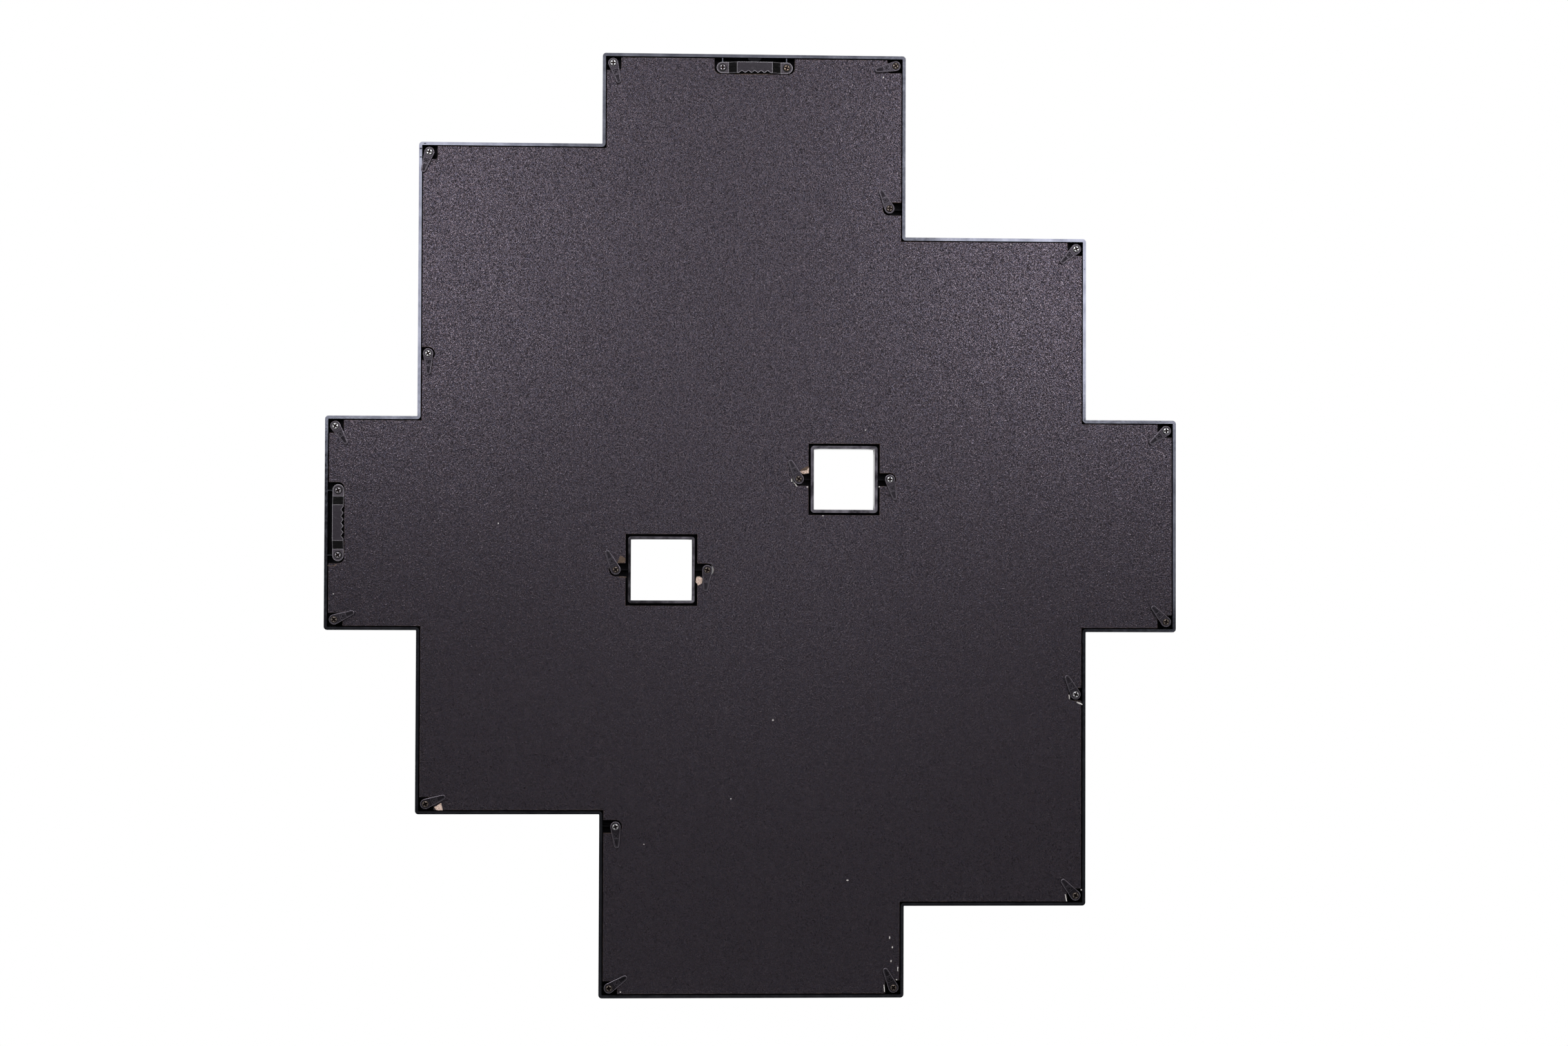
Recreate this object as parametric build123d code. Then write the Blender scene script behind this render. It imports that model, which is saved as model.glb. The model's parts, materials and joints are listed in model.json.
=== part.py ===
from build123d import *
from collections import namedtuple
import os

# Collage photo frame for ten 10 x 15 cm prints, hung on a wall: +Z is up, its front faces -Y, its back +Y.
# The origin is the point where the nail carries the top hanger: the top of the middle notch.
# Every piece is drawn as seen from behind: x to the right, y up, and depth counted from the front face.
# All sizes are in millimetres, all angles in degrees.

# Grid of the collage: each print covers two by three squares of one grid
pitch = 54.0
bar = 18.0
columns = 9
rows = 10

# Photo cells: left, top, right and bottom grid lines, seen from behind
photo_cells = [
    (3, 0, 6, 2),
    (1, 1, 3, 4),
    (3, 2, 5, 5),
    (5, 2, 8, 4),
    (0, 4, 3, 6),
    (6, 4, 9, 6),
    (4, 5, 6, 8),
    (1, 6, 4, 8),
    (6, 6, 8, 9),
    (3, 8, 6, 10),
]

# Squares that no print covers, where the frame is open right through
hole_cells = [
    (5, 4, 6, 5),
    (3, 5, 4, 6),
]

# Moulded front frame
wall = 1.8
plate_thickness = 2.0
skirt = 1.6
seat_depth = 8.0
outer_turn_radius = 2.0
inner_turn_radius = 0.4
front_chamfer = 1.0
opening_bevel = 1.5
rim_round = 0.4
rib_thickness = 0.6
hanger_rib_drop = 1.5
seat_rib_drop = 5.0
fence_thickness = 1.2
fence_length = 12.0
nail_tab_width = 8.0
nail_tab_depth = 2.5
nail_tab_drop = 0.6

# Layers behind the front plate
pane_thickness = 2.0
pane_lap_end = 4.7
pane_clearance = 0.3
photo_thickness = 0.25
photo_clearance = 0.5
board_thickness = 2.5
board_gap = 0.7
hole_gap = 1.4
board_recess = 0.4
notch_clearance = 1.5
corner_clearance = 2.4
notch_radius = 1.5

# Pan head screws for the buttons and the hangers
screw_radius = 1.05
screw_grip = 6.0
screw_point = 1.2
screw_head_radius = 1.9
screw_head_height = 1.2
screw_head_round = 0.7
cross_length = 2.8
cross_width = 0.95
cross_depth = 0.7
cross_turn = 37.0
thread_bite = 0.05
boss_wall = 1.35
boss_rise = 0.3

# Turn buttons that hold the board in
button_reach = 11.0
button_tip_radius = 1.45
button_thickness = 1.6
button_border = 0.65
button_round = 0.25
counterbore_depth = 0.5
counterbore_clearance = 0.4
pocket_gap = 1.5
pocket_depth = 0.45
dimple_radius = 0.95
dimple_depth = 0.15
dimple_gap = 0.7
pocket_bar_gap = 0.5
pocket_bar = 0.5
bore_clearance = 0.06
seat_play = 0.05

# Seats of the turn buttons: distance of the screw from the outer face of the wall beside it
edge_inset = 6.2
deep_inset = 9.6

# Seats along a wall: distance of the screw below or above the nearest grid row
side_shift = 8.1
upper_shift = 28.1
lower_shift = 16.2

# Seats in the outer corners: grid column and row, and where the tip points, clockwise from straight up
corner_seats = [
    (3, 0, 163),
    (6, 0, 257),
    (1, 1, 198),
    (8, 2, 227),
    (0, 4, 148),
    (9, 4, 231),
    (0, 6, 69),
    (9, 6, 318),
    (1, 8, 69),
    (8, 9, 319),
    (3, 10, 57),
    (6, 10, 335),
]

# Seats along a wall: column, row, shift downwards, side of the wall they lie on, inset and tip angle
wall_seats = [
    (6, 1, upper_shift, -1, deep_inset, 334),
    (1, 3, side_shift, 1, edge_inset, 179),
    (8, 7, -side_shift, -1, edge_inset, 333),
    (3, 8, lower_shift, 1, deep_inset, 176),
    (5, 4, pitch / 2, -1, bar / 2, 334),
    (6, 4, pitch / 2, 1, bar / 2, 165),
    (3, 5, pitch / 2, -1, bar / 2, 334),
    (4, 5, pitch / 2, 1, bar / 2, 185),
]

# Sawtooth hangers
hanger_inset = 8.1
hanger_width = 6.5
hanger_thickness = 0.7
hanger_rise = 2.0
bridge_length = 21.0
ramp_length = 5.0
tab_length = 7.0
hanger_hole_margin = 3.5
hanger_hole_clearance = 0.25
hanger_end_clearance = 1.4
hanger_edge_clearance = 0.25
hanger_notch_radius = 3.5
tooth_count = 5
tooth_pitch = 3.8
tooth_depth = 1.35

# Worked out from the values above
half_width = columns * pitch / 2 + bar / 2
half_height = rows * pitch / 2 + bar / 2
boss_radius = screw_radius + boss_wall
pane_lap_side = bar / 2 - boss_radius - pane_clearance
photo_depth = seat_depth + pane_thickness
board_depth = photo_depth + photo_thickness
rim_depth = board_depth + board_thickness + board_recess
boss_depth = rim_depth + boss_rise
notch_reach = boss_radius + notch_clearance
corner_reach = boss_radius + corner_clearance
counterbore_radius = screw_head_radius + counterbore_clearance
button_head_radius = counterbore_radius + button_border
button_depth = boss_depth + seat_play
button_head_depth = button_depth + button_thickness - counterbore_depth + seat_play
pocket_start = counterbore_radius + pocket_gap
dimple_place = pocket_start + dimple_gap + dimple_radius
bar_start = dimple_place + dimple_radius + pocket_bar_gap
hanger_length = bridge_length + 2 * (ramp_length + tab_length)
hanger_hole_spacing = hanger_length - 2 * hanger_hole_margin
hanger_top_y = half_height - hanger_inset
hanger_side_x = hanger_inset - half_width
hanger_notch_reach = hanger_width / 2 + hanger_edge_clearance
nail_height = hanger_top_y - hanger_width / 2 + tooth_depth
nail_depth = boss_depth + hanger_rise + hanger_thickness / 2

# From the drawing seen from behind to the hung frame, with the nail's place at the origin
hung = Plane((0, 0, 0), x_dir=(-1, 0, 0), z_dir=(0, 1, 0)).location * Pos(0, -nail_height, -nail_depth)

# A button's screw place, the side of its walls on each axis, its inset from them and its tip angle
Seat = namedtuple("Seat", "x y away_x away_y inset angle")


def grid_x(column):
    return (column - columns / 2) * pitch


def grid_y(row):
    return (rows / 2 - row) * pitch


def between(x1, y1, x2, y2):
    """Rectangle between two opposite corners."""
    return Pos((x1 + x2) / 2, (y1 + y2) / 2) * Rectangle(abs(x2 - x1), abs(y2 - y1))


def slab(sketch, near, far):
    """Solid of a sketch between two depths."""
    return extrude(Pos(0, 0, near) * sketch, far - near)


def cell_rectangle(cell, growth_x, growth_y):
    """A photo cell's rectangle, grown past its grid lines."""
    left, top, right, bottom = cell
    return between(
        grid_x(left) - growth_x,
        grid_y(top) + growth_y,
        grid_x(right) + growth_x,
        grid_y(bottom) - growth_y,
    )


def footprint(growth):
    """All photo cells in one outline, grown past its grid lines; the two empty squares stay open."""
    return Sketch() + [cell_rectangle(cell, growth, growth) for cell in photo_cells]


def filled_squares(corner):
    """How many of the four grid squares that meet at a corner of the footprint lie in photo cells."""
    column = round(corner.X / pitch + columns / 2)
    row = round(rows / 2 - corner.Y / pitch)
    squares = [(i, j) for i in (column - 1, column) for j in (row - 1, row)]
    return sum(
        left <= i < right and top <= j < bottom
        for i, j in squares
        for left, top, right, bottom in photo_cells
    )


def wall_line(growth, outward_radius, inward_radius):
    """The footprint with rounded corners: those that point out of it, and those that point into it."""
    line = footprint(growth)
    line = fillet([corner for corner in line.vertices() if filled_squares(corner) == 1], outward_radius)
    return fillet([corner for corner in line.vertices() if filled_squares(corner) == 3], inward_radius)


def opening(cell, growth=0):
    """The clear opening of a photo cell, grown where a wall or bevel needs it."""
    return cell_rectangle(cell, growth - bar / 2, growth - bar / 2)


def pane_outline(cell, growth=0):
    """The glass of a photo cell: it laps the opening more along the long sides than at the ends."""
    left, top, right, bottom = cell
    wide = right - left > bottom - top
    lap_x = pane_lap_end if wide else pane_lap_side
    lap_y = pane_lap_side if wide else pane_lap_end
    return cell_rectangle(cell, lap_x - bar / 2 + growth, lap_y - bar / 2 + growth)


def corner_seat(column, row, angle):
    """A seat in an outer corner, which always faces the middle of the grid."""
    away_x = 1 if column < columns / 2 else -1
    away_y = -1 if row < rows / 2 else 1
    x = grid_x(column) + away_x * (edge_inset - bar / 2)
    y = grid_y(row) + away_y * (edge_inset - bar / 2)
    return Seat(x, y, away_x, away_y, edge_inset, angle)


def wall_seat(column, row, shift, away_x, inset, angle):
    """A seat beside an upright wall."""
    x = grid_x(column) + away_x * (inset - bar / 2)
    return Seat(x, grid_y(row) - shift, away_x, 0, inset, angle)


seats = [corner_seat(*place) for place in corner_seats] + [wall_seat(*place) for place in wall_seats]
hanger_screw_places = []
for side in (-1, 1):
    hanger_screw_places.append((side * hanger_hole_spacing / 2, hanger_top_y))
    hanger_screw_places.append((hanger_side_x, side * hanger_hole_spacing / 2))
boss_places = [(seat.x, seat.y) for seat in seats] + hanger_screw_places


def pane_fences(cell):
    """Four angle ribs on the front plate that keep a pane from sliding."""
    inner = pane_outline(cell, pane_clearance)
    outer = pane_outline(cell, pane_clearance + fence_thickness)
    corners = [Pos(v.X, v.Y) * Rectangle(2 * fence_length, 2 * fence_length) for v in inner.vertices()]
    return (outer - inner) & (Sketch() + corners)


def seat_ribs(seat):
    """Thin ribs that tie a button's boss to the walls beside it."""
    length = seat.inset - wall / 2
    half = rib_thickness / 2
    ribs = []
    if seat.away_x:
        ribs.append(between(seat.x, seat.y - half, seat.x - seat.away_x * length, seat.y + half))
    if seat.away_y:
        ribs.append(between(seat.x - half, seat.y, seat.x + half, seat.y - seat.away_y * length))
    return ribs


def hanger_ribs():
    """Thin ribs from the hangers' bosses to the wall above or beside them."""
    length = hanger_inset - wall / 2
    half = rib_thickness / 2
    ribs = []
    for side in (-1, 1):
        along = side * hanger_hole_spacing / 2
        ribs.append(between(along - half, hanger_top_y, along + half, hanger_top_y + length))
        ribs.append(between(hanger_side_x, along - half, hanger_side_x - length, along + half))
    return ribs


def bevelled_opening(cell):
    """Cutter for an opening in the front plate, wider at the front."""
    front = opening(cell, opening_bevel)
    back = Pos(0, 0, plate_thickness) * opening(cell)
    return loft([front, back])


def front_frame():
    """One plastic moulding: front plate, outer wall, hole tubes, pane seats, fences, bosses and ribs."""
    outline = wall_line(bar / 2, outer_turn_radius, inner_turn_radius)
    cavity = wall_line(bar / 2 - wall, inner_turn_radius, outer_turn_radius)

    plate = slab(outline, 0, plate_thickness)
    plate = chamfer(plate.faces().sort_by(Axis.Z)[0].edges(), front_chamfer)
    plate -= [bevelled_opening(cell) for cell in photo_cells]
    rim = slab(outline - cavity, plate_thickness, rim_depth)
    rim = fillet(rim.faces().sort_by(Axis.Z)[-1].edges(), rim_round)

    skirts = Sketch() + [opening(cell, skirt) - opening(cell) for cell in photo_cells]
    fences = Sketch() + [pane_fences(cell) for cell in photo_cells]
    bosses = Sketch() + [Pos(x, y) * Circle(boss_radius) for x, y in boss_places]
    inner_ribs = Sketch() + [rib for seat in seats for rib in seat_ribs(seat)]
    outer_ribs = Sketch() + hanger_ribs()
    nail_tab = Pos(0, half_height - wall) * Ellipse(nail_tab_width / 2, nail_tab_depth)
    nail_tab &= footprint(bar / 2 - wall / 2)

    body = plate + [
        rim,
        slab(skirts, plate_thickness, seat_depth),
        slab(fences, plate_thickness, photo_depth),
        slab(bosses, plate_thickness, boss_depth),
        slab(inner_ribs, plate_thickness, rim_depth - seat_rib_drop),
        slab(outer_ribs, plate_thickness, rim_depth - hanger_rib_drop),
        slab(nail_tab, plate_thickness, rim_depth - nail_tab_drop),
    ]
    pilots = Sketch() + [Pos(x, y) * Circle(screw_radius - thread_bite) for x, y in boss_places]
    return body - slab(pilots, boss_depth - screw_grip - screw_point, boss_depth)


def glass_pane(cell):
    return slab(pane_outline(cell), seat_depth, photo_depth)


def photo_insert(cell):
    """A print or plain paper, a little smaller than its pane."""
    return slab(pane_outline(cell, -photo_clearance), photo_depth, board_depth)


def seat_notch(seat):
    """Cut-out of the board for a boss: a square one in a corner, a slot with a round end beside a wall."""
    wall_x = seat.x - seat.away_x * (seat.inset + notch_radius)
    if seat.away_y:
        wall_y = seat.y - seat.away_y * (seat.inset + notch_radius)
        far_x = seat.x + seat.away_x * corner_reach
        far_y = seat.y + seat.away_y * notch_reach
        width = abs(far_x - wall_x)
        height = abs(far_y - wall_y)
        return Pos((wall_x + far_x) / 2, (wall_y + far_y) / 2) * RectangleRounded(width, height, notch_radius)
    slot = between(wall_x, seat.y - notch_reach, seat.x, seat.y + notch_reach)
    return slot + Pos(seat.x, seat.y) * Circle(notch_reach)


def hanger_notch():
    """Cut-out of the board under a hanger, drawn for a hanger along x with the wall above it."""
    length = hanger_length + 2 * hanger_end_clearance
    top = hanger_inset + hanger_notch_radius
    height = top + hanger_notch_reach
    return Pos(0, (top - hanger_notch_reach) / 2) * RectangleRounded(length, height, hanger_notch_radius)


def at_hanger_top(shape):
    return Pos(0, hanger_top_y) * shape


def at_hanger_side(shape):
    """The side hanger is turned by a quarter, with its teeth towards the middle of the frame."""
    return Pos(hanger_side_x, 0) * Rot(0, 0, 90) * shape


def backing_board():
    """Black-faced fibreboard in one piece, cut to the frame's stepped inside."""
    outline = footprint(bar / 2 - wall - board_gap)
    tube_reach = wall + hole_gap - bar / 2
    notches = [cell_rectangle(cell, tube_reach, tube_reach) for cell in hole_cells]
    notches += [seat_notch(seat) for seat in seats]
    notches += [at_hanger_top(hanger_notch()), at_hanger_side(hanger_notch())]
    return slab(outline - notches, board_depth, board_depth + board_thickness)


def drop_outline(inset):
    """Teardrop outline of a turn button with its pivot at the origin and its tip upwards."""
    head = Circle(button_head_radius - inset)
    tip = Pos(0, button_reach) * Circle(button_tip_radius - inset)
    return make_hull(head.edges() + tip.edges())


def turn_button(seat):
    """Plastic turn button with a raised border, a sunk screw seat and a shallow pocket split by a bar."""
    body = slab(drop_outline(0), 0, button_thickness)
    body = fillet(body.faces().sort_by(Axis.Z)[-1].edges(), button_round)
    side = button_head_radius
    pocket = drop_outline(button_border) - between(-side, -side, side, pocket_start)
    pocket -= between(-side, bar_start, side, bar_start + pocket_bar)
    dimple = Pos(0, dimple_place) * Circle(dimple_radius)
    pocket_floor = button_thickness - pocket_depth
    body -= slab(pocket, pocket_floor, button_thickness)
    body -= slab(dimple, pocket_floor - dimple_depth, button_thickness)
    body -= slab(Circle(counterbore_radius), button_thickness - counterbore_depth, button_thickness)
    body -= slab(Circle(screw_radius + bore_clearance), 0, button_thickness)
    return Pos(seat.x, seat.y, button_depth) * Rot(0, 0, -seat.angle) * body


def screw(head_depth):
    """Pan head screw with a cross recess, its head resting at the given depth."""
    point_depth = boss_depth - screw_grip
    shank = slab(Circle(screw_radius), point_depth, head_depth)
    point = Pos(0, 0, point_depth - screw_point / 2) * Cone(0, screw_radius, screw_point)
    head = slab(Circle(screw_head_radius), head_depth, head_depth + screw_head_height)
    head = fillet(head.faces().sort_by(Axis.Z)[-1].edges(), screw_head_round)
    cross = Rectangle(cross_length, cross_width) + Rectangle(cross_width, cross_length)
    top = head_depth + screw_head_height
    return shank + point + head - slab(cross, top - cross_depth, top)


def screw_group(places, head_depth):
    """Equal screws as separate solids, each driven home to another angle."""
    pattern = screw(head_depth)
    return Compound([
        Pos(x, y) * Rot(0, 0, index * cross_turn) * pattern for index, (x, y) in enumerate(places)
    ])


def sawtooth_hanger():
    """Steel strip with two flat tabs, a raised bridge and a row of notches along its lower edge."""
    foot = hanger_length / 2
    knee = bridge_length / 2 + ramp_length
    crest = bridge_length / 2
    under = [(-foot, 0), (-knee, 0), (-crest, hanger_rise), (crest, hanger_rise), (knee, 0), (foot, 0)]
    over = [(x, z + hanger_thickness) for x, z in reversed(under)]
    profile = Plane.XZ * Polygon(*under, *over, align=None)
    strip = extrude(profile, hanger_width / 2, both=True)

    plan = SlotOverall(hanger_length, hanger_width)
    edge = -hanger_width / 2
    for index in range(tooth_count):
        middle = (index - (tooth_count - 1) / 2) * tooth_pitch
        left = middle - tooth_pitch / 2
        right = middle + tooth_pitch / 2
        plan -= Polygon((left, edge), (right, edge), (middle, edge + tooth_depth), align=None)
    for side in (-1, 1):
        plan -= Pos(side * hanger_hole_spacing / 2, 0) * Circle(screw_radius + hanger_hole_clearance)
    return Pos(0, 0, boss_depth) * (strip & slab(plan, 0, hanger_rise + hanger_thickness))


pieces = {
    "front_frame": front_frame(),
    "backing_board": backing_board(),
    "hanger_top": at_hanger_top(sawtooth_hanger()),
    "hanger_side": at_hanger_side(sawtooth_hanger()),
    "button_screws": screw_group([(seat.x, seat.y) for seat in seats], button_head_depth),
    "hanger_screws": screw_group(hanger_screw_places, boss_depth + hanger_thickness),
}
for number, cell in enumerate(photo_cells, start=1):
    pieces[f"glass_pane_{number:02d}"] = glass_pane(cell)
    pieces[f"photo_insert_{number:02d}"] = photo_insert(cell)
for number, seat in enumerate(seats, start=1):
    pieces[f"turn_button_{number:02d}"] = turn_button(seat)

os.makedirs("parts", exist_ok=True)
for name, piece in pieces.items():
    export_step(hung * piece, f"parts/{name}.step")
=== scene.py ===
"""The looks of a collage photo frame, seen from behind as it hangs. Metres, +Z up, the front faces -Y."""
import json
import math
import random

import bmesh
import bpy
from mathutils import Euler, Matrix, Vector


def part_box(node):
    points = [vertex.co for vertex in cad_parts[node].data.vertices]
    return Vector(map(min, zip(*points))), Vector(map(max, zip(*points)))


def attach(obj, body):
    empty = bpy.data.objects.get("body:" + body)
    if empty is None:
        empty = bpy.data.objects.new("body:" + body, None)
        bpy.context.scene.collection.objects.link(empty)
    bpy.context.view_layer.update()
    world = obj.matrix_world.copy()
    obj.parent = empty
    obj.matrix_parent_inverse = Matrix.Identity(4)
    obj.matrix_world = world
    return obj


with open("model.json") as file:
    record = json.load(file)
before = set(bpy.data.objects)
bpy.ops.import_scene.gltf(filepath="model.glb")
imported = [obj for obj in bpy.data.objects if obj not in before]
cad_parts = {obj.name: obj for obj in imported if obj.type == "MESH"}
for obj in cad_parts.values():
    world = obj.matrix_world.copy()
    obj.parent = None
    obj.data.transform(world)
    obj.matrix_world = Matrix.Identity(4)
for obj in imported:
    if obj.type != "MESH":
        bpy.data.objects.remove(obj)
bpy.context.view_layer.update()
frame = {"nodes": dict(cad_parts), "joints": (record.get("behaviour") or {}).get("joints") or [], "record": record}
nodes = frame["nodes"]
MM = 0.001

# The camera stands behind the frame, a little to one side and low
PHOTO_WIDTH, PHOTO_HEIGHT = 2272, 1515
LENS, SENSOR = 70.0, 36.0
CAMERA_PLACE = Vector((0.06918, 1.79901, -0.31158))
CAMERA_TURN = Euler([math.radians(angle) for angle in (91.3840, -0.1954, 177.2135)])

# Levels of the rim and the board, read from the solids; the bosses rise past the rim
BOSS_RISE = 0.3 * MM
RIM_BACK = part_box("front_frame")[1].y - BOSS_RISE
BOARD_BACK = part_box("backing_board")[1].y

camera_data = bpy.data.cameras.new("camera")
camera_data.lens = LENS
camera_data.sensor_width = SENSOR
camera = bpy.data.objects.new("camera", camera_data)
camera.location = CAMERA_PLACE
camera.rotation_euler = CAMERA_TURN
bpy.context.scene.collection.objects.link(camera)
bpy.context.scene.camera = camera


def on_level(level, column, row):
    """The point at depth `level` that the photograph shows at this pixel."""
    pixels = PHOTO_WIDTH * LENS / SENSOR
    sight = Vector((column - PHOTO_WIDTH / 2, PHOTO_HEIGHT / 2 - row, -pixels))
    sight.rotate(CAMERA_TURN)
    return CAMERA_PLACE + sight * ((level - CAMERA_PLACE.y) / sight.y)


class Nodes:
    """Short calls that add nodes to a tree and give back their results."""

    def __init__(self, tree):
        self.tree = tree

    def feed(self, socket, value):
        if isinstance(value, bpy.types.NodeSocket):
            self.tree.links.new(value, socket)
        else:
            socket.default_value = value

    def add(self, kind, inputs=(), **settings):
        node = self.tree.nodes.new("ShaderNode" + kind)
        for name, value in settings.items():
            setattr(node, name, value)
        for socket, value in dict(inputs).items():
            self.feed(node.inputs[socket], value)
        return node

    def math(self, operation, first, second=0.0):
        return self.add("Math", {0: first, 1: second}, operation=operation).outputs[0]

    def fade(self, value, start, end, low=0.0, high=1.0):
        """Goes from low to high while value goes from start to end."""
        ends = {"Value": value, "From Min": start, "From Max": end, "To Min": low, "To Max": high}
        return self.add("MapRange", ends).outputs["Result"]

    def blend(self, share, first, second):
        """The first colour where share is 0, the second where it is 1."""
        mixer = self.add("Mix", {0: share, 6: first, 7: second}, data_type="RGBA")
        return mixer.outputs[2]

    def highest(self, values):
        top = values[0]
        for value in values[1:]:
            top = self.math("MAXIMUM", top, value)
        return top


# A bump's slope is taken over this share of a pixel, so small that every picture size shows the same
SLOPE_REACH = 0.02
# Ranges that take in most of a noise, and its middle part
MOST, MIDDLE = (0.3, 0.7), (0.35, 0.65)
# A spot of this length does not change across the part
ENDLESS = 1.0


class Finish(Nodes):
    """A material with one Principled shader, and patterns to feed it."""

    def __init__(self, name, **values):
        self.material = bpy.data.materials.new(name)
        self.material.use_nodes = True
        super().__init__(self.material.node_tree)
        self.shader = self.tree.nodes["Principled BSDF"]
        self.output = self.tree.nodes["Material Output"]
        self.place = self.add("TexCoord").outputs["Object"]
        self.depth = self.along(self.place, "Y")
        self.facing = self.along(self.add("NewGeometry").outputs["True Normal"], "Y")
        self.set(**values)

    def set(self, **values):
        """Sets sockets of the shader, whose names are written with _ for a space."""
        for name, value in values.items():
            self.feed(self.shader.inputs[name.replace("_", " ")], value)

    def grain(self, size, turn=0.0, shift=0.0, detail=0.0):
        """Noise from 0 to 1 whose spots have this size, or these along X, Y and Z, turned about Y."""
        if isinstance(size, float):
            size = (size, size, size)
        turned = self.add("Mapping", {"Vector": self.place}, vector_type="TEXTURE")
        turned.inputs["Location"].default_value = (shift, shift, shift)
        turned.inputs["Rotation"].default_value = (0, math.radians(turn), 0)
        turned.inputs["Scale"].default_value = size
        spots = {"Vector": turned.outputs["Vector"], "Scale": 1.0, "Detail": detail}
        return self.add("TexNoise", spots).outputs["Fac"]

    def edges(self, width, blunt=0.98, sharp=0.8):
        """1 along sharp edges, 0 away from them by more than the width; blunt and sharp are cosines."""
        rounded = self.add("Bevel", {"Radius": width}, samples=4).outputs["Normal"]
        flat = self.add("NewGeometry").outputs["True Normal"]
        likeness = self.add("VectorMath", {0: rounded, 1: flat}, operation="DOT_PRODUCT")
        return self.fade(likeness.outputs["Value"], blunt, sharp)

    def along(self, vector, axis):
        """One part of a vector."""
        return self.add("SeparateXYZ", {0: vector}).outputs[axis]

    def bump(self, height, depth):
        raised = self.add("Bump", {"Height": height, "Distance": depth, "Filter Width": SLOPE_REACH})
        self.set(Normal=raised.outputs["Normal"])

    def near(self, points, reach):
        """1 within reach of any of the points, 0 elsewhere."""
        inside = []
        for point in points:
            way = self.add("VectorMath", {0: self.place, 1: point}, operation="DISTANCE")
            inside.append(self.math("LESS_THAN", way.outputs["Value"], reach))
        return self.highest(inside)

    def surface(self, share, first, second):
        """Shows the first shader where share is 0, the second where it is 1."""
        mixed = self.add("MixShader", {0: share, 1: first, 2: second})
        self.tree.links.new(mixed.outputs["Shader"], self.output.inputs["Surface"])


def grey(level, warm=0.0):
    """A grey of this linear level, warmer or cooler by a share of it."""
    return (level * (1 + warm), level, level * (1 - warm), 1.0)


# Black-faced fibreboard: short shiny fibres cross in every direction over a dull black ground
FIBRE_TURNS = (4, 33, 62, 94, 121, 152)
FIBRE_LENGTH, FIBRE_WIDTH, FIBRE_RISE = 1.1 * MM, 0.25 * MM, 0.03 * MM
FIBRE_CUT, FIBRE_SHIFT = (0.54, 0.70), 0.37
TILT_SIZE, TILT_RISE = 0.7 * MM, 0.07 * MM
CLOUD_SIZE, TINT_SIZE = 14 * MM, 0.8 * MM
SPARK_SIZE, SPARK_CUT, SPARK_SHIFT, SPARK_GLOSS = 0.42 * MM, (0.60, 0.72), 2.1, 1.5
RUB_SIZE, SCUFF_WIDTH, WORN_WIDTH = 3.5 * MM, 1.1 * MM, 0.3 * MM
CORE_SIZE = (1.2 * MM, 0.3 * MM, 1.2 * MM)
GROUND_ROUGH, FIBRE_ROUGH = 0.80, 0.12
GROUND_DARK = (0.0070, 0.0054, 0.0066, 1.0)
GROUND_PALE = (0.0104, 0.0083, 0.0100, 1.0)
FIBRE_BLUE = (0.0232, 0.0213, 0.0290, 1.0)
FIBRE_PINK = (0.0308, 0.0237, 0.0274, 1.0)
FIBRE_SPARK = (0.075, 0.064, 0.071, 1.0)
SCUFF_BROWN = (0.042, 0.028, 0.024, 1.0)
CORE_BROWN = (0.070, 0.045, 0.031, 1.0)
CORE_TAN = (0.26, 0.18, 0.13, 1.0)


def board_finish():
    finish = Finish("fibreboard", Specular_IOR_Level=0.09)
    layers = []
    for number, turn in enumerate(FIBRE_TURNS):
        strands = finish.grain((FIBRE_LENGTH, ENDLESS, FIBRE_WIDTH), turn, shift=FIBRE_SHIFT * number)
        layers.append(finish.fade(strands, *FIBRE_CUT))
    fibres = finish.highest(layers)
    clouds = finish.grain(CLOUD_SIZE, detail=3.0)
    tilts = finish.grain(TILT_SIZE, detail=1.0)
    tints = finish.fade(finish.grain(TINT_SIZE), *MIDDLE)
    sparks = finish.fade(finish.grain(SPARK_SIZE, shift=SPARK_SHIFT), *SPARK_CUT)

    # Brown scuffs along the cut edges, and the raw core on the cut itself
    rubs = finish.grain(RUB_SIZE, detail=4.0)
    scuffed = finish.math("MULTIPLY", finish.edges(SCUFF_WIDTH), finish.fade(rubs, 0.40, 0.58, high=0.85))
    worn = finish.math("MULTIPLY", finish.edges(WORN_WIDTH), finish.fade(rubs, 0.50, 0.68, low=0.15))
    cut = finish.math("LESS_THAN", finish.math("ABSOLUTE", finish.facing), 0.5)
    bare = finish.highest([cut, worn])
    core = finish.blend(finish.grain(CORE_SIZE, detail=2.0), CORE_BROWN, CORE_TAN)

    shiny = finish.math("MULTIPLY", fibres, finish.fade(bare, 0.0, 0.5, 1.0, 0.0))
    ground = finish.blend(clouds, GROUND_DARK, GROUND_PALE)
    face = finish.blend(scuffed, ground, SCUFF_BROWN)
    fibre = finish.blend(sparks, finish.blend(tints, FIBRE_BLUE, FIBRE_PINK), FIBRE_SPARK)
    face = finish.blend(shiny, face, fibre)
    finish.set(Base_Color=finish.blend(bare, face, core), Metallic=shiny)

    # The sparks are the smoothest fibres
    gloss = finish.math("MULTIPLY", shiny, finish.fade(tilts, *MOST, low=0.7, high=1.1))
    gloss = finish.math("MULTIPLY", gloss, finish.fade(sparks, 0.0, 1.0, low=1.0, high=SPARK_GLOSS))
    finish.set(Roughness=finish.fade(gloss, 0.0, 1.0, GROUND_ROUGH, FIBRE_ROUGH))
    heights = {0: tilts, 1: TILT_RISE / FIBRE_RISE, 2: fibres}
    finish.bump(finish.add("Math", heights, operation="MULTIPLY_ADD").outputs[0], FIBRE_RISE)
    return finish.material


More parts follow.
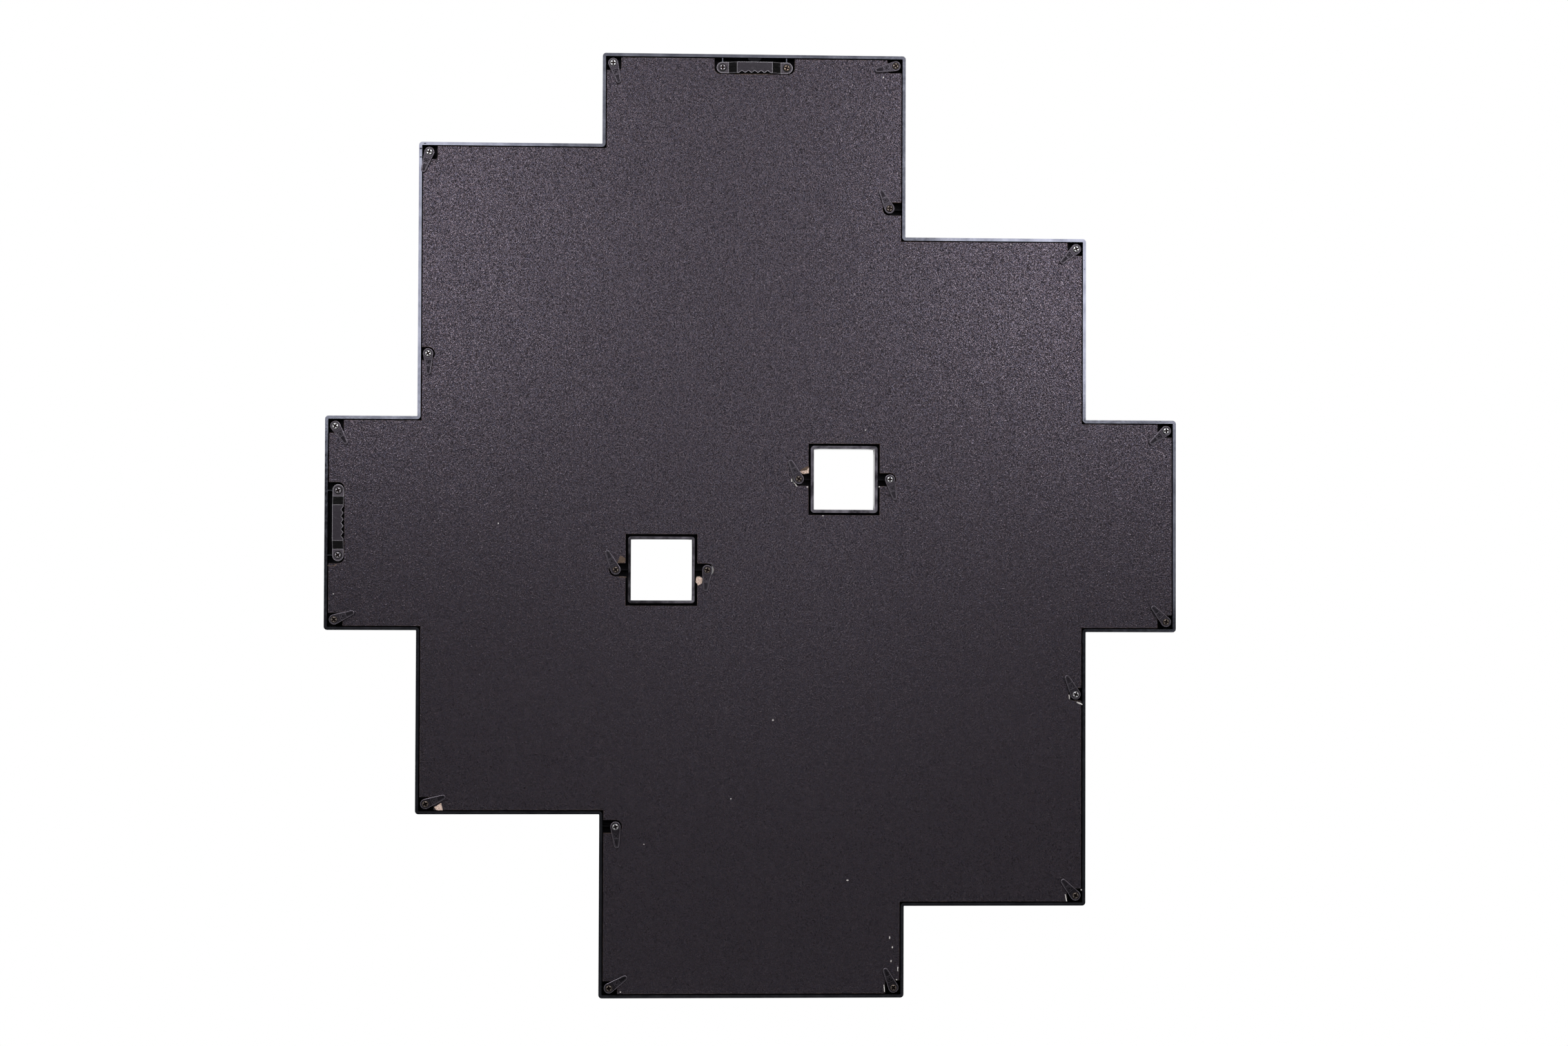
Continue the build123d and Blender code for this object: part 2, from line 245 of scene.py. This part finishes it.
# Moulded black plastic: a cool polish on the rim and the outside, dull in the cavity, whose darker colour is
# painted shade
RIM_FOOT, RIM_SHOULDER = 0.45 * MM, 0.15 * MM
RIB_DROP, RIB_NEAR, RIB_FAR = 1.5 * MM, 0.1 * MM, 0.2 * MM
OPEN_REACH = 8 * MM
HAZE_SIZE, TUBE_HIGHLIGHT_SIZE = 9 * MM, 5 * MM
STREAK_SIZE = (2.2 * MM, 1.4 * MM, 2.2 * MM)
RIM_RUB_WIDTH = 0.25 * MM
CAVITY_ROUGH = 0.45
PORE_SIZE, PORE_RISE = 1.1 * MM, 0.005 * MM
TUBE_REACH = 30 * MM
CAVITY_SHADE_BLACK = (0.0030, 0.0028, 0.0032, 1.0)
CAVITY_SHADE_GREY = (0.0060, 0.0057, 0.0064, 1.0)
POLISH_DIM = (0.036, 0.037, 0.045, 1.0)
POLISH_BRIGHT = (0.060, 0.061, 0.072, 1.0)
POLISH_RUBBED_AND_HIGHLIT = (0.105, 0.105, 0.118, 1.0)
TUBE_PAINTED_SHADE = (0.014, 0.0127, 0.0148, 1.0)
TUBE_PAINTED_HIGHLIGHT = (0.060, 0.0555, 0.0630, 1.0)


def hole_places():
    """The middles of the two through holes, from the record's openings."""
    places = []
    for opening in frame["record"]["physics"]["openings"]:
        if opening["name"].startswith("through_hole"):
            low, high = opening["box_m"]
            places.append((Vector(low) + Vector(high)) / 2)
    return places


def frame_finish():
    finish = Finish("moulded black plastic", Metallic=1.0)
    haze = finish.grain(HAZE_SIZE, detail=4.0)
    streaks = finish.grain(STREAK_SIZE, detail=4.0)
    rim = finish.fade(finish.depth, RIM_BACK - RIM_FOOT, RIM_BACK - RIM_SHOULDER)
    # Outside, rim and ribs keep the polish; the rest of the cavity gets a near-black colour that is painted shade
    open_air = finish.add("AmbientOcclusion", {"Distance": OPEN_REACH}, samples=8).outputs["AO"]
    outside = finish.math("MULTIPLY", finish.fade(open_air, 0.55, 0.85), finish.fade(finish.facing, 0.7, 0.5))
    rib_drop = finish.math("ABSOLUTE", finish.math("SUBTRACT", finish.depth, RIM_BACK - RIB_DROP))
    back_faces = finish.fade(finish.facing, 0.5, 0.7)
    ribs = finish.math("MULTIPLY", finish.fade(rib_drop, RIB_FAR, RIB_NEAR), back_faces)
    polished = finish.highest([rim, ribs, outside])
    # Paler patches along the edges: partly wear, partly painted highlights on the roundings
    rubbed_and_highlit = finish.math("MULTIPLY", finish.edges(RIM_RUB_WIDTH), finish.fade(streaks, 0.50, 0.72))
    polish = finish.blend(finish.fade(haze, *MOST), POLISH_DIM, POLISH_BRIGHT)
    # Round the holes the polish is painted darker as shade, with random paler patches that are painted highlights
    tube_highlights = finish.fade(finish.grain(TUBE_HIGHLIGHT_SIZE, detail=4.0), *MIDDLE)
    tube_shade_and_highlights = finish.blend(tube_highlights, TUBE_PAINTED_SHADE, TUBE_PAINTED_HIGHLIGHT)
    polish = finish.blend(finish.near(hole_places(), TUBE_REACH), polish, tube_shade_and_highlights)
    polish = finish.blend(rubbed_and_highlit, polish, POLISH_RUBBED_AND_HIGHLIT)
    # Painted shade: a near-black colour in the cavity
    cavity_painted_shade = finish.blend(haze, CAVITY_SHADE_BLACK, CAVITY_SHADE_GREY)
    finish.set(Base_Color=finish.blend(polished, cavity_painted_shade, polish))
    smooth = finish.fade(streaks, 0.3, 0.75, 0.07, 0.17)
    unpolished = finish.math("SUBTRACT", 1.0, polished)
    finish.set(Roughness=finish.math("MAXIMUM", smooth, finish.math("MULTIPLY", unpolished, CAVITY_ROUGH)))
    finish.bump(finish.grain(PORE_SIZE, detail=2.0), PORE_RISE)
    return finish.material


# Turn buttons: satin black plastic, pale along the roundings (wear and painted highlights), painted shade on the
# sides and in the pocket
BUTTON_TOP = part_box("turn_button_01")[1].y
POCKET_DROP, TOP_DROP = 0.2 * MM, 0.03 * MM
BUTTON_EDGE_WIDTH, BUTTON_EDGE_SHARE = 0.22 * MM, 0.45
MOTTLE_SIZE = 3 * MM
SPECK_SIZE, SPECK_RISE = 0.25 * MM, 0.012 * MM
POCKET_ROUGH, BODY_ROUGH = 0.42, 0.30
BUTTON_SIDE_SHADE = (0.0016, 0.0013, 0.0016, 1.0)
BUTTON_POCKET_SHADE_DARK = (0.0062, 0.0054, 0.0064, 1.0)
BUTTON_POCKET_SHADE_PALE = (0.0150, 0.0131, 0.0156, 1.0)
BUTTON_BODY = (0.0165, 0.0144, 0.0170, 1.0)
BUTTON_RUBBED_AND_HIGHLIT = (0.300, 0.268, 0.306, 1.0)
# How far a face turns from the back, as a cosine: where it starts to lean, and where it leans fully
LEANING = (0.99, 0.95)


def button_finish():
    finish = Finish("satin black plastic", Metallic=1.0)
    mottle = finish.grain(MOTTLE_SIZE, detail=3.0)
    specks = finish.grain(SPECK_SIZE, detail=1.0)
    raised = finish.fade(finish.depth, BUTTON_TOP - POCKET_DROP, BUTTON_TOP - TOP_DROP)
    # Faces that turn away from the back are painted near black as shade
    back_faces = finish.fade(finish.facing, 0.62, 0.80)
    # Pale lines on the roundings and sharp edges, patchy like wear: painted highlights
    leaning = finish.fade(finish.facing, *LEANING)
    sharp_edges = finish.math("MULTIPLY", finish.edges(BUTTON_EDGE_WIDTH), BUTTON_EDGE_SHARE)
    highlit_lines = finish.math("MULTIPLY", finish.highest([leaning, sharp_edges]), back_faces)
    worn = finish.math("MULTIPLY", highlit_lines, finish.fade(mottle, 0.3, 0.55, low=0.6))
    # The pocket below the raised top is painted darker: painted shade
    shaded_pocket = finish.blend(finish.fade(mottle, *MOST), BUTTON_POCKET_SHADE_DARK, BUTTON_POCKET_SHADE_PALE)
    body = finish.blend(worn, finish.blend(raised, shaded_pocket, BUTTON_BODY), BUTTON_RUBBED_AND_HIGHLIT)
    finish.set(Base_Color=finish.blend(back_faces, BUTTON_SIDE_SHADE, body))
    finish.set(Roughness=finish.fade(raised, 0.0, 1.0, POCKET_ROUGH, BODY_ROUGH))
    finish.bump(specks, SPECK_RISE)
    return finish.material


# Sawtooth hangers: black-coated steel with painted light on the tabs, painted shade on the ramps and a painted
# shadow round the screws, and bare steel along the bends, the teeth and a few scratches, which also stands in for
# highlights on the bends and teeth
HANGER_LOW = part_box("hanger_top")[0].y
HANGER_SHEET, HANGER_RISE, HANGER_HOLE_MARGIN = 0.7 * MM, 2.0 * MM, 3.5 * MM
ROLLED_SIZE, ROLLED_RISE = (6 * MM, 6 * MM, 1.5 * MM), 0.02 * MM
SCRATCH_SIZE, SCRATCH_TURN, SCRATCH_SHARE = (0.12 * MM, ENDLESS, 4 * MM), 38, 0.6
BEND_WIDTH, BEND_SHARE, TOOTH_WIDTH = 0.5 * MM, 0.7, 0.20 * MM
SCREW_SHADE_REACH = 2.4 * MM
SPECKLE_SIZE = 0.5 * MM
TAB_LIT_DIM = (0.033, 0.027, 0.033, 1.0)
TAB_LIT_PALE = (0.070, 0.058, 0.070, 1.0)
PLATE_DARK = (0.0060, 0.0046, 0.0062, 1.0)
PLATE_PALE = (0.0380, 0.0305, 0.0395, 1.0)
HANGER_SHADE = (0.0025, 0.0022, 0.0023, 1.0)
BARE_AND_HIGHLIT_STEEL, BARE_METALLIC = (0.27, 0.255, 0.27, 1.0), 0.7


def hanger_screw_places():
    """Where the screws stand: first both of the top hanger, then both of the side hanger."""
    places = []
    for name, axis in (("hanger_top", 0), ("hanger_side", 2)):
        low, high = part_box(name)
        for end, inward in ((low, 1), (high, -1)):
            place = (low + high) / 2
            place.y = HANGER_LOW + HANGER_SHEET
            place[axis] = end[axis] + inward * HANGER_HOLE_MARGIN
            places.append(place)
    return places


def hanger_finish():
    finish = Finish("black coated steel", Specular_IOR_Level=0.08)
    rolled = finish.grain(ROLLED_SIZE, detail=4.0)
    scratches = finish.fade(finish.grain(SCRATCH_SIZE, turn=SCRATCH_TURN, detail=1.0), 0.70, 0.76)
    # Bare steel along bends and teeth: partly worn coat, partly painted highlights
    highlit_bends = finish.math("MULTIPLY", finish.edges(BEND_WIDTH, blunt=0.998, sharp=0.985), BEND_SHARE)
    highlit_teeth = finish.edges(TOOTH_WIDTH)
    bare = finish.highest([highlit_bends, highlit_teeth, finish.math("MULTIPLY", scratches, SCRATCH_SHARE)])
    bridge = finish.fade(finish.depth, HANGER_LOW + HANGER_SHEET, HANGER_LOW + HANGER_RISE)
    # Ramps and rings round the screws take a near-black colour: painted shade and painted shadow
    sloped = finish.fade(finish.facing, *LEANING)
    shaded = finish.highest([sloped, finish.near(hanger_screw_places(), SCREW_SHADE_REACH)])
    # The tabs are painted paler than the plate: painted light
    lit_tab = finish.blend(rolled, TAB_LIT_DIM, TAB_LIT_PALE)
    speckle = finish.grain(SPECKLE_SIZE, detail=2.0)
    plate = finish.blend(speckle, PLATE_DARK, PLATE_PALE)
    coat = finish.blend(shaded, finish.blend(bridge, lit_tab, plate), HANGER_SHADE)
    finish.set(Base_Color=finish.blend(bare, coat, BARE_AND_HIGHLIT_STEEL))
    finish.set(Metallic=finish.math("MULTIPLY", bare, BARE_METALLIC))
    finish.set(Roughness=finish.fade(rolled, *MOST, low=0.22, high=0.36))
    finish.bump(rolled, ROLLED_RISE)
    return finish.material


# Screws: some bright nickel and some dulled to bronze, with painted shade in the cross recess and low on the head
RECESS_LOW, RECESS_HIGH, SHADE_EDGE_WIDTH = 0.40 * MM, 0.22 * MM, 0.30 * MM
TARNISH_SIZE = 0.9 * MM
PIT_SIZE, PIT_RISE = 0.2 * MM, 0.008 * MM
NICKEL = (0.42, 0.415, 0.42, 1.0)
BRONZE = (0.105, 0.085, 0.072, 1.0)
BRASS = (0.17, 0.128, 0.100, 1.0)
STEEL = (0.24, 0.222, 0.24, 1.0)
TARNISH = grey(0.09, 0.08)
RECESS_PAINTED_SHADE = (0.0045, 0.0032, 0.0030, 1.0)


def screw_finish(name, node, worn_places, reach, worn_metal, dull_metal):
    """Dark in the cross and on its edges, and low on the rounded side of the head: painted shade."""
    finish = Finish(name, Metallic=1.0)
    head_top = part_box(node)[1].y
    tarnish = finish.grain(TARNISH_SIZE, detail=3.0)
    metal = finish.blend(finish.near(worn_places, reach), dull_metal, worn_metal)
    stained = finish.blend(finish.fade(tarnish, 0.45, 0.75, high=0.6), metal, TARNISH)
    # Below the head's top and along the recess edges the colour turns dark: painted shade
    unshaded = finish.fade(finish.depth, head_top - RECESS_LOW, head_top - RECESS_HIGH)
    unshaded = finish.math("MULTIPLY", unshaded, finish.fade(finish.edges(SHADE_EDGE_WIDTH), 0.0, 1.0, 1.0, 0.1))
    finish.set(Base_Color=finish.blend(unshaded, RECESS_PAINTED_SHADE, stained))
    finish.set(Roughness=finish.fade(tarnish, *MOST, low=0.22, high=0.42))
    finish.bump(finish.grain(PIT_SIZE, detail=1.0), PIT_RISE)
    return finish.material


# Float glass with a slight green cast, a few smears, and light passing through to the print
GLASS_TINT = (0.975, 0.987, 0.980, 1.0)
GLASS_SHADE = (0.955, 0.968, 0.960, 1.0)
SMEAR_SIZE, SMEAR_TURN, SMEAR_ROUGH = (30 * MM, 30 * MM, 12 * MM), 25, 0.06


def glass_finish():
    finish = Finish("float glass", Base_Color=GLASS_TINT, Transmission_Weight=1.0, IOR=1.5)
    smears = finish.grain(SMEAR_SIZE, turn=SMEAR_TURN, detail=4.0)
    finish.set(Roughness=finish.fade(smears, 0.5, 0.8, high=SMEAR_ROUGH))
    clear = finish.add("BsdfTransparent", {"Color": GLASS_SHADE})
    shade = finish.add("LightPath").outputs["Is Shadow Ray"]
    finish.surface(shade, finish.shader.outputs["BSDF"], clear.outputs["BSDF"])
    return finish.material


# Plain print paper: warm white with fine fibres and a soft mottle
PAPER_MOTTLE_SIZE = 18 * MM
PAPER_STRAND_SIZE, PAPER_STRAND_TURN = (1.5 * MM, ENDLESS, 0.2 * MM), 20
PAPER_STRAND_SHARE, PAPER_STRAND_RISE = 0.25, 0.01 * MM
PAPER_DIM = (0.70, 0.675, 0.63, 1.0)
PAPER_PALE = (0.77, 0.75, 0.715, 1.0)
PAPER_STRAND = grey(0.56, 0.05)


def paper_finish():
    finish = Finish("print paper", Specular_IOR_Level=0.35)
    mottle = finish.grain(PAPER_MOTTLE_SIZE, detail=4.0)
    strands = finish.grain(PAPER_STRAND_SIZE, turn=PAPER_STRAND_TURN, detail=2.0)
    white = finish.blend(mottle, PAPER_DIM, PAPER_PALE)
    shown = finish.fade(strands, 0.6, 0.8, high=PAPER_STRAND_SHARE)
    finish.set(Base_Color=finish.blend(shown, white, PAPER_STRAND))
    finish.set(Roughness=finish.fade(mottle, *MOST, low=0.42, high=0.55))
    finish.bump(strands, PAPER_STRAND_RISE)
    return finish.material


# Torn fibreboard: pulp with paler tufts
PULP_SIZE, PULP_TURN = (0.6 * MM, 0.6 * MM, 0.3 * MM), 30
TUFT_SIZE, TUFT_RISE = 0.25 * MM, 0.12 * MM
TAN_DARK, TAN_PALE = (0.22, 0.13, 0.09, 1.0), (0.80, 0.64, 0.54, 1.0)
BROWN_DARK, BROWN_PALE = (0.035, 0.024, 0.018, 1.0), (0.15, 0.105, 0.075, 1.0)
CHIP_DARK, CHIP_PALE = (0.34, 0.31, 0.28, 1.0), (0.74, 0.71, 0.67, 1.0)
MARK_DARK, MARK_PALE = (0.004, 0.004, 0.005, 1.0), (0.016, 0.016, 0.019, 1.0)


def torn_finish(name, dark, pale):
    finish = Finish(name, Roughness=0.92, Specular_IOR_Level=0.15)
    pulp = finish.grain(PULP_SIZE, turn=PULP_TURN, detail=3.0)
    finish.set(Base_Color=finish.blend(finish.fade(pulp, *MIDDLE), dark, pale))
    finish.bump(finish.grain(TUFT_SIZE, detail=2.0), TUFT_RISE)
    return finish.material


# The screws of these buttons are bright, and the first hanger screw is brass
BRIGHT_BUTTON_SCREWS = (1, 3, 4, 5, 6, 14, 15, 16, 18)
BRIGHT_REACH, BRASS_REACH = 4 * MM, 8 * MM
joint_places = {joint["name"]: joint["pos_m"] for joint in frame["joints"]}
bright_places = [joint_places[f"button_{number:02d}_turn"] for number in BRIGHT_BUTTON_SCREWS]
brass_place = hanger_screw_places()[0]

finishes = {
    "front_frame": frame_finish(),
    "backing_board": board_finish(),
    "hanger_": hanger_finish(),
    "button_screws": screw_finish(
        "button screw steel", "button_screws", bright_places, BRIGHT_REACH, NICKEL, BRONZE
    ),
    "hanger_screws": screw_finish(
        "hanger screw steel", "hanger_screws", [brass_place], BRASS_REACH, BRASS, STEEL
    ),
    "glass_pane_": glass_finish(),
    "photo_insert_": paper_finish(),
    "turn_button_": button_finish(),
}
for name, node in nodes.items():
    start = max((key for key in finishes if name.startswith(key)), key=len)
    node.material_slots[0].material = finishes[start]

# A torn side swings at this step; each ring of a flake has a share of its width and of its rise
TEAR_STEP = 0.5 * MM
FLAKE_RINGS = ((1.0, -0.2), (0.96, 0.5), (0.6, 1.0))
RISE_LEAST, RISE_MOST = 0.7, 1.0


def ragged(corners, jag, dice):
    """An outline through the corners with torn sides between them."""
    outline = []
    for here, after in zip(corners, corners[1:] + corners[:1]):
        side = after - here
        across = Vector((-side.z, 0, side.x)).normalized()
        steps = max(2, round(side.length / TEAR_STEP))
        for step in range(steps):
            sway = dice.uniform(-jag, jag) if step else 0.0
            outline.append(here + side * (step / steps) + across * sway)
    return outline


def flakes(name, outlines, level, rise, jag, material, seed):
    """Torn flakes that lie on the level, one for each outline of photograph pixels."""
    dice = random.Random(seed)
    torn = bmesh.new()
    for pixels in outlines:
        corners = [on_level(level, column, row) for column, row in pixels]
        outline = ragged(corners, jag, dice)
        middle = sum(outline, Vector()) / len(outline)
        rings = []
        for share, lift in FLAKE_RINGS:
            ring = []
            for point in outline:
                bump = lift * rise * dice.uniform(RISE_LEAST, RISE_MOST)
                ring.append(torn.verts.new(middle.lerp(point, share) + Vector((0, bump, 0))))
            rings.append(ring)
        for low, high in zip(rings, rings[1:]):
            for i in range(len(low)):
                after = (i + 1) % len(low)
                torn.faces.new((low[i], low[after], high[after], high[i]))
        torn.faces.new(rings[-1])
    bmesh.ops.recalc_face_normals(torn, faces=torn.faces)
    mesh = bpy.data.meshes.new(name)
    torn.to_mesh(mesh)
    torn.free()
    mesh.materials.append(material)
    piece = bpy.data.objects.new(name, mesh)
    bpy.context.scene.collection.objects.link(piece)
    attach(piece, "frame")


def sliver(column, row, wide, high):
    """A small diamond of photograph pixels round a point."""
    across, down = wide / 2, high / 2
    return [(column - across, row), (column, row - down), (column + across, row), (column, row + down)]


# Places where the black face tore off the board, in pixels of the photograph
TORN_PATCHES = [
    [(1159.1, 682.7), (1161.6, 682.1), (1170.3, 681.1), (1172.6, 676.5), (1171.8, 685.7), (1163.2, 686.5)],
    [(1009, 836), (1014, 834.6), (1018, 838), (1017, 845), (1012, 848), (1008, 843)],
    [(629.2, 1169.0), (634, 1166.3), (639.3, 1163.2), (641.4, 1173.9), (632, 1173.4)],
]
BROWN_PATCHES = [
    [(894, 815), (899, 804), (906.5, 809), (905, 815.5)],
    [(1159.3, 681.2), (1164.5, 678), (1170, 675), (1172.3, 676.6), (1170, 681), (1161, 682.2)],
]
# Thin pale chips along the cut-outs
CHIPS = [
    [(1150.0, 698.7), (1151.2, 698.6), (1155.2, 704.2), (1154.2, 705.0)],
    [(1146.2, 693.2), (1147.4, 693.6), (1147.8, 698.0), (1146.4, 697.4)],
    [(1168.8, 704.6), (1171.0, 704.8), (1170.8, 706.2), (1168.9, 706.0)],
    [(1548.3, 1006.4), (1549.6, 1006.0), (1550.2, 1010.5), (1549.2, 1013.2)],
    [(1560.0, 1016.6), (1566.0, 1017.8), (1569.0, 1020.6), (1567.6, 1021.0), (1561.0, 1018.2)],
    [(1542.8, 1295.2), (1544.0, 1295.4), (1546.2, 1305.6), (1544.8, 1305.4)],
    [(1280.2, 1426.2), (1281.4, 1426.4), (1282.2, 1436.8), (1281.0, 1436.6)],
    [(1300.2, 1400.4), (1301.4, 1400.6), (1301.3, 1406.8), (1300.4, 1406.4)],
]
# Dimmer torn edges under the side hanger, beside the second hole and under the top hanger's teeth
DIM_CHIPS = [
    [(472.0, 818.4), (478.0, 819.6), (486.0, 818.6), (489.0, 816.4), (486.0, 819.4), (478.0, 820.5)],
    [(896.8, 835.2), (907.6, 835.4), (907.6, 836.4), (897.0, 836.2)],
    [(1063.0, 107.2), (1075.0, 106.9), (1112.0, 106.9), (1119.0, 107.3), (1110.0, 107.8), (1066.0, 107.9)],
]
# Specks: column, row, width and height
SPECKS = [
    (1566.8, 1288.7, 2.4, 2.4), (1299, 1419, 2.6, 2.2), (890, 1423, 2.4, 2.2), (899, 1437, 2.6, 2.2),
    (1274, 705, 2.4, 2.4), (1192.5, 747, 3.6, 1.6), (1280, 112, 2.5, 3), (1254, 623, 2, 2), (722, 758, 2, 3),
    (483, 860, 2, 2), (1059, 1157, 2, 2.5), (933, 1223, 2, 2), (1228, 1275, 4, 2.5), (1120, 1043, 3, 3),
    (1289, 1358, 2, 5), (1293, 1372, 2, 4), (1291, 1392, 2, 4), (1465, 354.5, 2, 2),
]
# Dark scratches across the rim: column, row, width and height
RIM_MARKS = [
    (609.9, 215.1, 4.4, 2.8), (609.9, 227.3, 4.4, 2.0), (616.0, 207.6, 5.0, 1.6), (472.9, 615.6, 1.4, 1.4),
    (472.9, 620.3, 1.4, 1.4), (472.9, 625.3, 1.4, 1.4), (1571.0, 377.0, 1.8, 1.2), (1571.6, 390.0, 1.6, 1.2),
]

tan_pulp = torn_finish("torn tan pulp", TAN_DARK, TAN_PALE)
brown_pulp = torn_finish("torn brown pulp", BROWN_DARK, BROWN_PALE)
pale_pulp = torn_finish("pale chips", CHIP_DARK, CHIP_PALE)
scratched = torn_finish("scratched plastic", MARK_DARK, MARK_PALE)
specks = [sliver(*speck) for speck in SPECKS]
marks = [sliver(*mark) for mark in RIM_MARKS]
flakes("board_torn_patches", TORN_PATCHES, BOARD_BACK, 0.18 * MM, 0.18 * MM, tan_pulp, seed=3)
flakes("board_brown_patches", BROWN_PATCHES, BOARD_BACK, 0.12 * MM, 0.15 * MM, brown_pulp, seed=5)
flakes("board_chips", CHIPS, BOARD_BACK, 0.10 * MM, 0.06 * MM, pale_pulp, seed=7)
flakes("board_dim_chips", DIM_CHIPS, BOARD_BACK, 0.06 * MM, 0.04 * MM, brown_pulp, seed=11)
flakes("board_specks", specks, BOARD_BACK, 0.08 * MM, 0.05 * MM, pale_pulp, seed=9)
flakes("rim_marks", marks, RIM_BACK, 0.02 * MM, 0.04 * MM, scratched, seed=13)

# Two soft lamps stand above the camera on its left and right, the right one with a dimmer foot.
# A pale wall is between them and a small one below it. Each row: name, X and Z, size, radiance.
BACK_PLANE = 1.8
BACK_LAMPS = (
    ("lamp_back_left", (0.55, 0.39), (0.72, 1.0), 8.6),
    ("lamp_back_right", (-0.54, 0.39), (0.50, 0.95), 11.0),
    ("lamp_back_right_low", (-0.67, -0.20), (0.22, 0.23), 4.2),
    ("wall_back_middle", (-0.05, 0.41), (0.46, 1.18), 2.4),
    ("wall_back_low", (-0.13, -0.27), (0.36, 0.16), 2.7),
)
# Two more light the front. Each row: name, X, radiance.
FRONT_LAMPS = (("lamp_front_left", -1.2, 13.0), ("lamp_front_right", 1.2, 10.0))
FRONT_PLANE, FRONT_HEIGHT, FRONT_SIZE = -1.7, 0.7, (0.9, 0.9)
FRAME_MIDDLE = (0.0, 0.0, -0.27)
LAMP_COLOUR = (0.95, 0.96, 1.0)


def softbox(name, place, aim, size, radiance):
    """A soft square lamp at a place, aimed at a point."""
    lamp = bpy.data.lights.new(name, "AREA")
    lamp.shape = "RECTANGLE"
    lamp.size, lamp.size_y = size
    lamp.energy = radiance * math.pi * size[0] * size[1]
    lamp.color = LAMP_COLOUR
    lamp_object = bpy.data.objects.new(name, lamp)
    lamp_object.location = place
    lamp_object.rotation_euler = (Vector(aim) - Vector(place)).to_track_quat("-Z", "Y").to_euler()
    lamp_object.visible_camera = False
    bpy.context.scene.collection.objects.link(lamp_object)


for lamp_name, (across, up), lamp_size, radiance in BACK_LAMPS:
    softbox(lamp_name, (across, BACK_PLANE, up), (across, 0.0, up), lamp_size, radiance)
for lamp_name, across, radiance in FRONT_LAMPS:
    softbox(lamp_name, (across, FRONT_PLANE, FRONT_HEIGHT), FRAME_MIDDLE, FRONT_SIZE, radiance)

# A studio with a white backdrop: sight meets white everywhere, gloss and glass meet the
# backdrop before the frame and the dimmer room behind it, and the shade keeps an even fill
WHITE = (1, 1, 1, 1)
FILL, ROOM = 0.13, 0.21
ROOM_START, ROOM_FULL = 0.40, 0.93


def studio_light():
    world = bpy.data.worlds.new("studio")
    world.use_nodes = True
    bpy.context.scene.world = world
    sky = Nodes(world.node_tree)
    paths = sky.add("LightPath").outputs
    mirrored = sky.math("MAXIMUM", paths["Is Glossy Ray"], paths["Is Transmission Ray"])
    heading = sky.add("SeparateXYZ", {0: sky.add("TexCoord").outputs["Generated"]}).outputs["Y"]
    reflected = sky.math("MULTIPLY", mirrored, sky.fade(heading, ROOM_START, ROOM_FULL, 1.0, ROOM))
    shown = sky.highest([paths["Is Camera Ray"], reflected, FILL])
    background = sky.tree.nodes["Background"]
    sky.feed(background.inputs["Color"], WHITE)
    sky.feed(background.inputs["Strength"], shown)


studio_light()

# A pale round floor below the frame, which pales to the white of the studio
FLOOR_LEVEL, FLOOR_RADIUS = -0.83, 1.6
FLOOR_CLEAR, FLOOR_WHITE = 0.5, FLOOR_RADIUS * 0.95
FLOOR_MOTTLE_SIZE = 0.25
FLOOR_DIM, FLOOR_PALE = grey(0.80, 0.004), grey(0.83, 0.004)


def floor_finish():
    finish = Finish("pale floor", Roughness=0.85, Specular_IOR_Level=0.2)
    mottle = finish.grain(FLOOR_MOTTLE_SIZE, detail=3.0)
    finish.set(Base_Color=finish.blend(mottle, FLOOR_DIM, FLOOR_PALE))
    radius = finish.add("VectorMath", {0: finish.place}, operation="LENGTH").outputs["Value"]
    paled = finish.fade(radius, FLOOR_CLEAR, FLOOR_WHITE)
    paths = finish.add("LightPath")
    sight = finish.highest([paths.outputs["Is Camera Ray"], paths.outputs["Is Glossy Ray"]])
    white = finish.add("Emission", {"Color": WHITE, "Strength": 1.0})
    share = finish.math("MULTIPLY", paled, sight)
    finish.surface(share, finish.shader.outputs["BSDF"], white.outputs["Emission"])
    return finish.material


disc = bmesh.new()
bmesh.ops.create_circle(disc, cap_ends=True, segments=96, radius=FLOOR_RADIUS)
floor_mesh = bpy.data.meshes.new("floor")
disc.to_mesh(floor_mesh)
disc.free()
floor_mesh.materials.append(floor_finish())
floor = bpy.data.objects.new("floor", floor_mesh)
floor.location = (0, 0, FLOOR_LEVEL)
bpy.context.scene.collection.objects.link(floor)

bpy.context.scene.view_settings.view_transform = "Standard"
